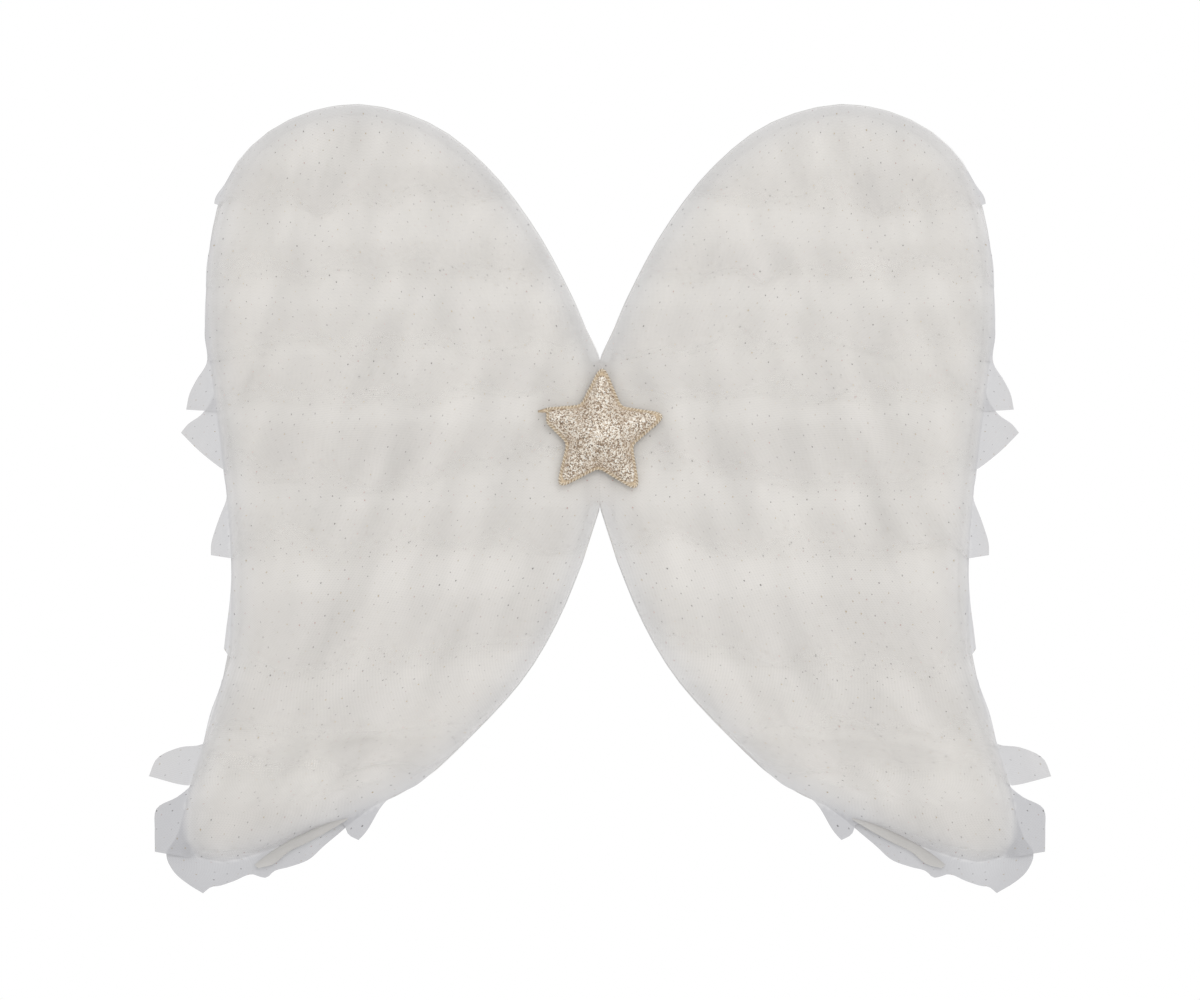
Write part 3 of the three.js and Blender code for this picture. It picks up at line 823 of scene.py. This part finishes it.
# ---- Felt centre --------------------------------------------------------------------------------
# A felt panel joins the two loops, and a felt pad lies over it at the back, pressed thin where the
# shoulder loops are sewn through both.
FELT_BEVEL = 0.5 * MM
felt, tree, shader = material("soft_felt", Roughness=0.95, Sheen_Weight=0.25)
fibres = surface_noise(tree, shader, 900.0, 5.0, lift=0.6, depth=0.3 * MM, distortion=1.5)
clumps = surface_noise(tree, shader, 90.0, 3.0)
tone = mixed(tree, fibres, (0.62, 0.59, 0.53, 1), (0.88, 0.85, 0.79, 1))
tone = mixed(tree, sum_of(tree, "MULTIPLY", clumps, 0.3), tone, (0.72, 0.70, 0.66, 1))
join(tree, shader, Base_Color=tone)


def softened(node_name, rise):
    """A copy of a CAD solid with its edges rounded and its faces slightly uneven, as cut felt is."""
    bm = cad_mesh(node_name)
    bmesh.ops.dissolve_limit(bm, angle_limit=0.02, verts=bm.verts, edges=bm.edges)
    bmesh.ops.bevel(
        bm, geom=bm.edges[:], offset=FELT_BEVEL, segments=3, profile=0.5, affect="EDGES", material=-1
    )
    bmesh.ops.triangulate(bm, faces=[f for f in bm.faces if len(f.verts) > 4])
    for _ in range(3):
        long = [e for e in bm.edges if e.calc_length() > 3 * MM]
        bmesh.ops.subdivide_edges(bm, edges=long, cuts=1, use_grid_fill=True)
        bmesh.ops.triangulate(bm, faces=[f for f in bm.faces if len(f.verts) > 4])
    bm.normal_update()
    for v in bm.verts:
        v.co += v.normal * rise * noise.noise(v.co * 180)
    return bm


for node_name, piece_name in (("centre_panel", "felt_panel"), ("back_pad", "felt_pad")):
    felt_piece = piece_of(softened(node_name, 0.12 * MM), piece_name, felt)
    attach(felt_piece, "centre")
    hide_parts(node_name)

# ---- Bunched tulle ------------------------------------------------------------------------------
# Under the star the tiers' inner ends are caught together in one narrow bunch across the panel.
bunch_low, bunch_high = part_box("centre_tulle_bunch")
bm, uv, layers, shares = cloth_grid(18, 90)
bunch_width, bunch_length = bunch_high.x - bunch_low.x, bunch_high.z - bunch_low.z
for v, (across, down) in shares.items():
    z = bunch_high.z - bunch_length * down
    x = bunch_low.x + bunch_width * across
    notch, corner = (NOTCH_TOP, bunch_high.z) if z > 0 else (NOTCH_BOTTOM, bunch_low.z)
    edge = corner + (notch - corner) * (1 - abs(x) / bunch_high.x)
    z = min(z, edge) if z > 0 else max(z, edge)
    v.co = (x, bunch_high.y - 0.35 * MM - 0.2 * MM * math.sin(x * 2 * math.pi / (3 * MM)), z)
lay_flat(bm, uv, lambda v: (v.co.x * 2, v.co.z))
bmesh.ops.remove_doubles(bm, verts=bm.verts, dist=1e-5)
bmesh.ops.dissolve_degenerate(bm, dist=1e-6, edges=bm.edges)
bmesh.ops.recalc_face_normals(bm, faces=bm.faces)
bunch = piece_of(bm, "bunched_tulle", tulle)
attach(bunch, "centre")
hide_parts("centre_tulle_bunch")

# ---- Star ---------------------------------------------------------------------------------------
# Two stars of glitter cloth, a champagne front and a plain felt back, sewn round the edge and stuffed.
# The flat seam shows all round and is oversewn with slanting stitches; at the left arm a wisp of it
# stands out past the blunt tip.
STAR_TIP, STAR_NOTCH = 40 * MM, 19.2 * MM
STAR_HEIGHT = -0.8 * MM
STAR_TURN = math.radians(-2)
TIP_ROUND, NOTCH_ROUND, BLUNT_ROUND = 9 * MM, 3 * MM, 1 * MM
BLUNT_AT = -29.7 * MM
SEAM_WIDTH = 1.5 * MM
BODY_STEP = 1.3 * MM
SIM_SCALE = 10
SIM_FRAMES = 24
STUFFING = dict(
    quality=6,
    mass=0.3,
    use_pressure=True,
    tension_stiffness=12,
    compression_stiffness=12,
    bending_stiffness=0.4,
    vertex_group_mass="held",
)
front_low, front_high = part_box("star_front_cover")
back_low, back_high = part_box("star_back_cover")
seam_y = (front_high.y + back_low.y) / 2


def star_line(inset):
    """The star's outline, this far inside its edge: rounded tips and notches, and a blunt left arm."""
    half_tip = math.atan2(STAR_NOTCH * math.sin(math.pi / 5), STAR_TIP - STAR_NOTCH * math.cos(math.pi / 5))
    tip = STAR_TIP - inset / math.sin(half_tip)
    notch = STAR_NOTCH - inset / math.sin(half_tip + math.pi / 5)
    corners = []
    for k in range(10):
        angle = math.pi / 2 + STAR_TURN + math.pi / 5 * k
        reach = notch if k % 2 else tip
        corners.append((Vector((reach * math.cos(angle), reach * math.sin(angle) + STAR_HEIGHT)), k % 2))
    (above, _), (point, _), (below, _) = corners[1:4]
    cut_x = BLUNT_AT + inset
    cut = [point.lerp(end, (cut_x - point.x) / (end.x - point.x)) for end in (above, below)]
    corners[2:3] = [(cut[0], 2), (cut[1], 2)]
    line = []
    for k, (corner, kind) in enumerate(corners):
        rounding = (TIP_ROUND, NOTCH_ROUND, BLUNT_ROUND)[kind]
        before = corner + (corners[k - 1][0] - corner).normalized() * rounding
        after = corner + (corners[(k + 1) % len(corners)][0] - corner).normalized() * rounding
        for j in range(7):
            t = j / 6
            line.append((1 - t) ** 2 * before + 2 * t * (1 - t) * corner + t**2 * after)
    return line


def cut_from_grid(line, step):
    """Cloth cut to an outline: a grid trimmed to it, its outermost points drawn onto the line."""
    pts = np.array([(p[0], p[1]) for p in line])
    nxt = np.roll(pts, -1, axis=0)
    reach = float(np.abs(pts).max()) + 2 * step
    count = int(2 * reach / step)
    bm = bmesh.new()
    bmesh.ops.create_grid(bm, x_segments=count, y_segments=count, size=reach)

    def nearest(p):
        d = nxt - pts
        t = np.clip(((p - pts) * d).sum(1) / (d * d).sum(1), 0, 1)
        close = pts + d * t[:, None]
        return close[np.linalg.norm(close - p, axis=1).argmin()]

    def inside(p):
        crossing = (pts[:, 1] > p[1]) != (nxt[:, 1] > p[1])
        with np.errstate(divide="ignore", invalid="ignore"):
            at = pts[:, 0] + (p[1] - pts[:, 1]) / (nxt[:, 1] - pts[:, 1]) * (nxt[:, 0] - pts[:, 0])
        return bool((crossing & (p[0] < at)).sum() % 2)

    drop = [f for f in bm.faces if not inside(np.array(f.calc_center_median()[:2]))]
    bmesh.ops.delete(bm, geom=drop, context="FACES")
    loose = [v for v in bm.verts if not v.link_faces]
    bmesh.ops.delete(bm, geom=loose, context="VERTS")
    for v in bm.verts:
        if v.is_boundary:
            v.co.x, v.co.y = nearest(np.array(v.co[:2]))
    return bm


def stuffed(name, line, bulge, depth):
    """Cloth cut to a line, held at its edge and blown out to a depth, as stuffing presses it."""
    bm = cut_from_grid([(p[0] * SIM_SCALE, p[1] * SIM_SCALE) for p in line], BODY_STEP * SIM_SCALE)
    bm.verts.index_update()
    edge = [v.index for v in bm.verts if v.is_boundary]
    mesh = bpy.data.meshes.new(name)
    bm.to_mesh(mesh)
    bm.free()
    blown = bpy.data.objects.new(name, mesh)
    scene.collection.objects.link(blown)
    blown.vertex_groups.new(name="held").add(edge, 1.0, "REPLACE")
    cloth = blown.modifiers.new("stuffing", "CLOTH")
    for setting, value in STUFFING.items():
        setattr(cloth.settings, setting, value)
    cloth.settings.uniform_pressure_force = bulge
    cloth.settings.effector_weights.gravity = 0
    cloth.collision_settings.use_collision = False
    cloth.point_cache.frame_end = SIM_FRAMES
    for step in range(SIM_FRAMES):
        scene.frame_set(step + 1)
    done = blown.evaluated_get(bpy.context.evaluated_depsgraph_get())
    points = [v.co.copy() for v in done.data.vertices]
    scene.frame_set(1)
    for v, p in zip(blown.data.vertices, points):
        v.co = p
    blown.modifiers.clear()
    tall = max(abs(v.co.z) for v in blown.data.vertices)
    result = bmesh.new()
    result.from_mesh(blown.data)
    bpy.data.objects.remove(blown)
    if tall < 1e-4:
        tall = 1.0
    for v in result.verts:
        v.co = (v.co.x / SIM_SCALE, seam_y + abs(v.co.z) / tall * depth, v.co.y / SIM_SCALE)
    return result


glitter, tree, shader = material("champagne_glitter")
place = node(tree, "ShaderNodeTexCoord").outputs["Object"]
flakes = node(tree, "ShaderNodeTexVoronoi", {"Vector": place, "Scale": 1600.0, "Randomness": 1.0})
facets = node(tree, "ShaderNodeSeparateColor", {0: flakes.outputs["Color"]}).outputs
colours = node(tree, "ShaderNodeValToRGB", {"Fac": facets[0]})
colours.color_ramp.elements[0].color = (0.16, 0.10, 0.06, 1)
colours.color_ramp.elements[1].color = (1.0, 0.98, 0.92, 1)
for at, colour in ((0.2, (0.40, 0.29, 0.20, 1)), (0.45, (0.70, 0.59, 0.47, 1)), (0.75, (1.0, 0.93, 0.82, 1))):
    colours.color_ramp.elements.new(at).color = colour
# Painted shade and painted reflection: where the star's sides turn away from the camera they are tinted
# darker gold-brown.
steep = node(tree, "ShaderNodeLayerWeight", {"Blend": 0.5}).outputs["Facing"]
steep_shade = sum_of(tree, "MINIMUM", sum_of(tree, "MULTIPLY", sum_of(tree, "POWER", steep, 1.4), 1.6), 0.75)
tinted = mixed(tree, steep_shade, colours.outputs["Color"], (0.56, 0.39, 0.25, 1))
shine = sum_of(tree, "MULTIPLY", sum_of(tree, "POWER", facets[1], 2.0), 0.8)
rough = sum_of(tree, "MULTIPLY_ADD", facets[2], 0.3, 0.4)
lift = node(tree, "ShaderNodeBump", {"Strength": 0.9, "Distance": 0.4 * MM, "Height": facets[1]})
join(tree, shader, Base_Color=tinted, Metallic=shine, Roughness=rough, Normal=lift.outputs[0])

body_line = star_line(SEAM_WIDTH)
for name, finish, slot_name, bulge, depth in (
    ("star_front", glitter, "glitter_fabric", 5.0, front_low.y - seam_y + 0.3 * MM),
    ("star_back", felt, "felt", 3.0, back_high.y - seam_y - 0.3 * MM),
):
    body = stuffed(name, body_line, bulge, depth)
    bmesh.ops.recalc_face_normals(body, faces=body.faces)
    if max(body.faces, key=lambda f: f.calc_area()).normal.y * depth < 0:
        bmesh.ops.reverse_faces(body, faces=body.faces)
    cloth = piece_of(body, name, finish)
    smoother = cloth.modifiers.new("round", "SUBSURF")
    smoother.levels = smoother.render_levels = 1
    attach(cloth, "centre")
    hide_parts(f"{name}_cover")

# The seam: both cloths' edges, flat together, with the wisp at the left arm.
SEAM_THICKNESS = 0.9 * MM
WISP_ROOT, WISP_END = Vector((-28.5 * MM, 12.2 * MM)), Vector((-34.3 * MM, 11.4 * MM))
seam_finish, tree, shader = material("gold_edge", Roughness=0.45)
frayed = surface_noise(tree, shader, 800.0, 3.0, lift=0.6, depth=0.2 * MM)
spread = node(tree, "ShaderNodeClamp", {"Value": sum_of(tree, "MULTIPLY_ADD", frayed, 2.4, -0.7)}).outputs[0]
tone = mixed(tree, spread, (0.36, 0.25, 0.15, 1), (0.78, 0.65, 0.47, 1))
join(tree, shader, Base_Color=tone, Metallic=sum_of(tree, "MULTIPLY", frayed, 0.4))
seam_line = star_line(0)
seam = cut_from_grid(seam_line, 1.2 * MM)
for v in seam.verts:
    v.co = (v.co.x, seam_y, v.co.y)
bmesh.ops.recalc_face_normals(seam, faces=seam.faces)
bmesh.ops.solidify(seam, geom=seam.faces[:], thickness=SEAM_THICKNESS)
bmesh.ops.translate(seam, vec=(0, SEAM_THICKNESS / 2, 0), verts=seam.verts)
wisp = WISP_END - WISP_ROOT
wisp_lean = math.atan2(wisp.y, wisp.x)
wisp_middle = (WISP_ROOT + WISP_END) / 2
cone = bmesh.ops.create_cone(
    seam, cap_ends=True, segments=8, radius1=1.4 * MM, radius2=0.55 * MM, depth=wisp.length
)
for v in cone["verts"]:
    across, deep, out = v.co
    v.co = (
        wisp_middle.x + out * math.cos(wisp_lean) - across * math.sin(wisp_lean),
        seam_y + 0.6 * deep,
        wisp_middle.y + out * math.sin(wisp_lean) + across * math.cos(wisp_lean),
    )
bmesh.ops.recalc_face_normals(seam, faces=seam.faces)
star_seam = piece_of(seam, "star_seam", seam_finish)
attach(star_seam, "centre")

WHIP_PITCH, WHIP_SLANT = 1.9 * MM, 0.9 * MM
gold_thread = two_tone(
    "gold_thread", 1800.0, 2.0, (0.78, 0.66, 0.50), (1.0, 0.94, 0.82), lift=0.4, Roughness=0.4, Metallic=0.35
)
closed = np.array([(p.x, p.y) for p in [*seam_line, seam_line[0]]])
steps = run_along(closed)
bm = bmesh.new()
for i in range(int(steps[-1] / WHIP_PITCH)):
    outside = i * WHIP_PITCH
    (x0, x1), (z0, z1) = (np.interp((outside, outside + WHIP_SLANT), steps, line) for line in closed.T)
    inward = Vector((-(z1 - z0), x1 - x0)).normalized() * SEAM_WIDTH * 0.8
    add_stitch(bm, (x0, seam_y - 0.5 * MM, z0), (x1 + inward.x, seam_y - 0.6 * MM, z1 + inward.y), 0.3 * MM)
whip = piece_of(bm, "star_whip_stitches", gold_thread)
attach(whip, "centre")

wadding = two_tone("loose_wadding", 400.0, 5.0, (0.80, 0.79, 0.77), (0.95, 0.94, 0.92), Roughness=1.0)
bm = cad_mesh("star_filling")
for v in bm.verts:
    v.co = (v.co.x * 0.72, seam_y + (v.co.y - seam_y) * 0.55, v.co.z * 0.72)
filling = piece_of(bm, "star_wadding", wadding)
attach(filling, "centre")
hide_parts("star_filling")

# ---- Shoulder loops -----------------------------------------------------------------------------
# Two loops of narrow ribbed elastic, sewn to the pad with a bar of stitches at each end. The wearer's
# arms go through them.
STRAP_WIDTH, STRAP_THICKNESS = 7 * MM, 1.2 * MM
STRAP_SPLAY = math.radians(30)
STRAP_X = 5.1 * MM
STRAP_LINE = (
    (0, 19), (0, 25), (0, 28), (1.8, 33.5), (11, 43), (38, 53), (75, 46), (101, 14), (101, -26), (75, -54),
    (38, -59), (11, -45), (1.8, -33.5), (0, -28), (0, -25), (0, -19),
)
STRAP_STEPS = 170
RIBS, RIB_STEPS, RIB_HEIGHT = 6, 4, 0.1 * MM
TACK_HEIGHT, TACK_HALF_WIDTH, TACK_PITCH = 23 * MM, 2.4 * MM, 0.27 * MM
TACK_STITCHES = 9
TACK_PROUD = STRAP_THICKNESS / 2 + 0.45 * MM
elastic, tree, shader = material("ribbed_elastic", Roughness=0.8)
cloth = node(tree, "ShaderNodeUVMap", uv_map="cloth").outputs[0]
flat = node(tree, "ShaderNodeSeparateXYZ", {0: cloth})
picks = sum_of(tree, "SINE", sum_of(tree, "MULTIPLY", flat.outputs["Y"], 2 * math.pi / (0.9 * MM)))
ribs = sum_of(tree, "COSINE", sum_of(tree, "MULTIPLY", flat.outputs["X"], 2 * math.pi * RIBS / STRAP_WIDTH))
weave = sum_of(tree, "MULTIPLY_ADD", sum_of(tree, "MULTIPLY_ADD", picks, 0.35, ribs), 0.37, 0.5)
drift = use(tree, soft_drift, Cloth=cloth)
tone = mixed(tree, weave, (0.60, 0.59, 0.57, 1), (0.92, 0.91, 0.89, 1))
tone = mixed(tree, sum_of(tree, "MULTIPLY", drift.outputs["Drift"], 0.25), tone, (0.76, 0.75, 0.72, 1))
lift = node(tree, "ShaderNodeBump", {"Strength": 0.5, "Distance": 0.2 * MM, "Height": weave})
join(tree, shader, Base_Color=tone, Normal=lift.outputs[0])


def smooth_line(points, count):
    """Evenly spaced points on a curve through these ones."""
    data = bpy.data.curves.new("line", "CURVE")
    data.dimensions = "3D"
    data.resolution_u = 16
    spline = data.splines.new("BEZIER")
    spline.bezier_points.add(len(points) - 1)
    for made, (a, b) in zip(spline.bezier_points, points):
        made.co = (a * MM, b * MM, 0)
        made.handle_left_type = made.handle_right_type = "AUTO"
    holder = bpy.data.objects.new("line", data)
    scene.collection.objects.link(holder)
    bpy.context.view_layer.update()
    drawn = holder.to_mesh()
    fine = np.array([v.co[:2] for v in drawn.vertices])
    holder.to_mesh_clear()
    bpy.data.objects.remove(holder)
    steps = run_along(fine)
    at = np.linspace(0, steps[-1], count)
    return np.stack([np.interp(at, steps, line) for line in fine.T], 1), float(steps[-1])


strap_points, strap_length = smooth_line(STRAP_LINE, STRAP_STEPS + 1)
strap_dirs = np.gradient(strap_points, axis=0)
strap_dirs /= np.linalg.norm(strap_dirs, axis=1)[:, None]
strap_depth = STRAP_WIDTH * math.sin(STRAP_SPLAY) + STRAP_THICKNESS * math.cos(STRAP_SPLAY)
strap_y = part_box("right_shoulder_strap")[0].y + strap_depth / 2


def in_loop(sign, out, width, z):
    """A point this far out along a loop's own plane and across its width."""
    x = out * math.sin(STRAP_SPLAY) + width * math.cos(STRAP_SPLAY)
    y = out * math.cos(STRAP_SPLAY) - width * math.sin(STRAP_SPLAY)
    return Vector((sign * (STRAP_X + x), strap_y + y, z))


for side, sign in SIDES:
    bm, uv, layers, shares = cloth_grid(RIBS * RIB_STEPS, STRAP_STEPS)
    lay_flat(bm, uv, lambda v: (shares[v][0] * STRAP_WIDTH, shares[v][1] * strap_length))
    for v, (across, down) in shares.items():
        k = round(down * STRAP_STEPS)
        rib = RIB_HEIGHT * math.cos(across * RIBS * 2 * math.pi)
        out, z = strap_points[k]
        v.co = in_loop(sign, out, (across - 0.5) * (STRAP_WIDTH - 0.4 * MM), z)
        v.co += (in_loop(sign, strap_dirs[k][1], 0, -strap_dirs[k][0]) - in_loop(sign, 0, 0, 0)) * rib
    bmesh.ops.recalc_face_normals(bm, faces=bm.faces)
    strap = piece_of(bm, f"{side}_elastic_loop", elastic)
    body = strap.modifiers.new("body", "SOLIDIFY")
    body.thickness = STRAP_THICKNESS - 0.2 * MM
    body.offset = 0
    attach(strap, f"{side}_strap")
    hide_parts(f"{side}_shoulder_strap")
    for end_name, height in (("upper", TACK_HEIGHT), ("lower", -TACK_HEIGHT)):
        bm = bmesh.new()
        for k in range(TACK_STITCHES):
            z = height + (k - TACK_STITCHES // 2) * TACK_PITCH
            lean = 0.12 * MM * (-1) ** k
            ends = [in_loop(sign, TACK_PROUD, way * TACK_HALF_WIDTH, z + way * lean) for way in (-1, 1)]
            add_stitch(bm, *ends, 0.24 * MM)
        bar = piece_of(bm, f"{side}_{end_name}_bar_tack", thread_finish)
        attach(bar, f"{side}_strap")
        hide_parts(f"{side}_{end_name}_strap_tack")
